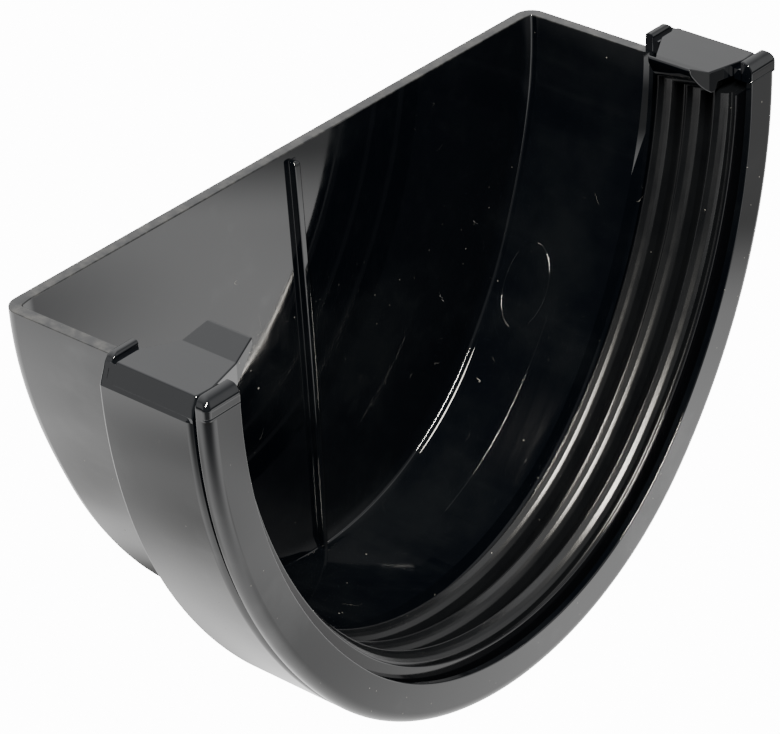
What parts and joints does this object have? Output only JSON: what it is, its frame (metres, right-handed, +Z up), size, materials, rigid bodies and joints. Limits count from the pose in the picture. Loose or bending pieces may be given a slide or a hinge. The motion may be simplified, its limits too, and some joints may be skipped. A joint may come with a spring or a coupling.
{
  "type": "gutter end cap",
  "caption": "Black plastic end cap for a deep U-shaped rain gutter, with a flat end plate, a wider socket, a ribbed rubber seal and snap clips over its top edges.",
  "frame": {"origin": "middle of the line between the trough's two top edges, in the plane of the socket's mouth", "axes": "+X along the gutter, out of the mouth; +Y across the gutter; +Z up"},
  "size_m": [0.045, 0.1292, 0.0833],
  "materials": {
    "black_plastic": "gloss",
    "seal_rubber": "satin"
  },
  "bodies": {
    "root": {"end_cap_body": "black_plastic", "socket_seal": "seal_rubber"}
  },
  "joints": []
}
